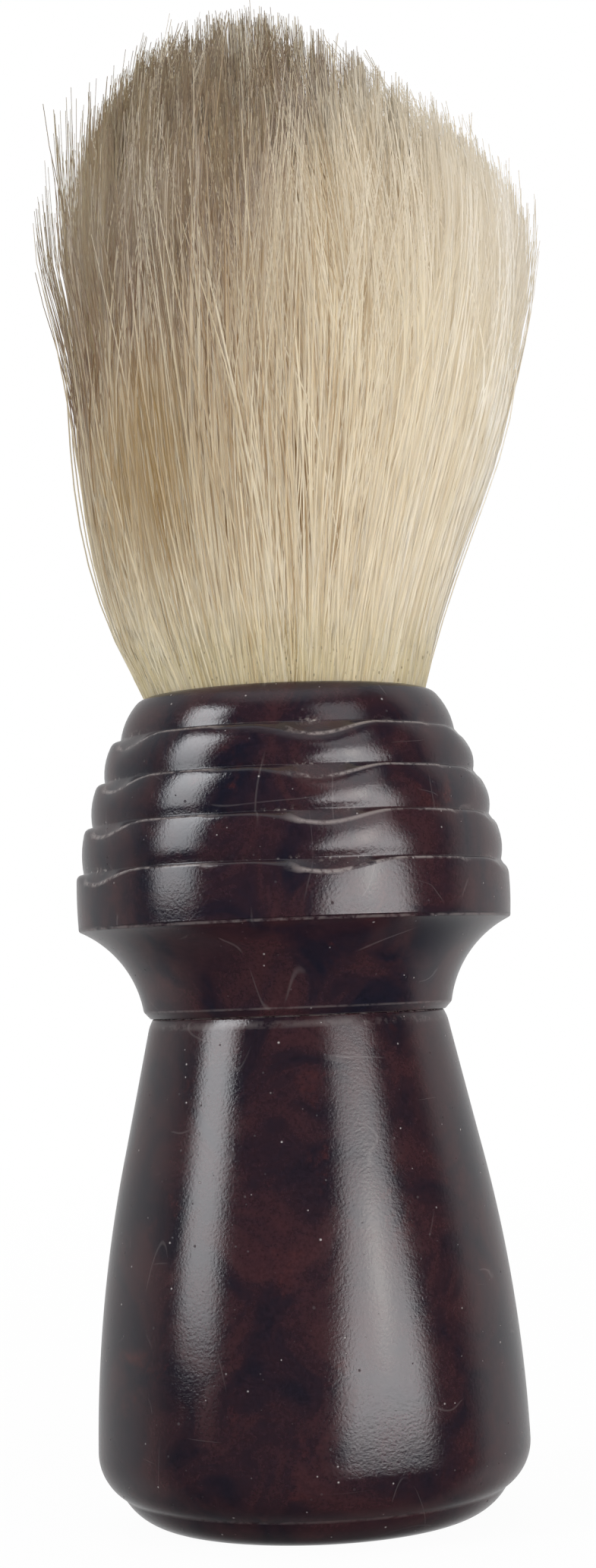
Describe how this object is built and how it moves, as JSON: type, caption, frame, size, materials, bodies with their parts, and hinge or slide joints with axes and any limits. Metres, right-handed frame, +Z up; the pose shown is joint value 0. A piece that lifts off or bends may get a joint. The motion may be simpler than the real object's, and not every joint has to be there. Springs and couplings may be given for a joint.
{
  "type": "shaving brush",
  "caption": "Shaving brush: a flared knot of natural bristles set in a stepped, wavy-edged collar that screws onto a dark mottled moulded handle with a flat base.",
  "frame": {"origin": "centre of the base, on the surface the brush stands on", "axes": "+Z up along the brush, -Y towards the pictured side"},
  "size_m": [0.0366, 0.0366, 0.1138],
  "materials": {
    "phenolic": "polished mottled dark oxblood phenolic moulding",
    "cork": "pressed cork",
    "cement": "set brown cement",
    "twine": "waxed cord",
    "bristle": "natural cream boar bristle"
  },
  "bodies": {
    "handle": {"handle": "phenolic", "packing_washer": "cork"},
    "knot": {"knot_plug": "cement", "knot_binding": "twine", "bristle_core": "bristle", "bristle_ring_inner": "bristle", "bristle_ring_middle": "bristle", "bristle_ring_outer": "bristle"},
    "collar": {"collar": "phenolic"}
  },
  "joints": [
    {"name": "knot_lift", "type": "slide", "parent": "handle", "child": "knot", "axis": [0, 0, 1], "range_m": [0, 0.008]},
    {"name": "collar_turn", "type": "hinge", "parent": "knot", "child": "collar", "pos_m": [0, 0, 0.0425], "axis": [0, 0, 1], "range_deg": [0, 1440]}
  ],
  "couplings": [
    {"joint": "knot_lift", "follows": "collar_turn", "m_per_rad": 0.0003183}
  ]
}
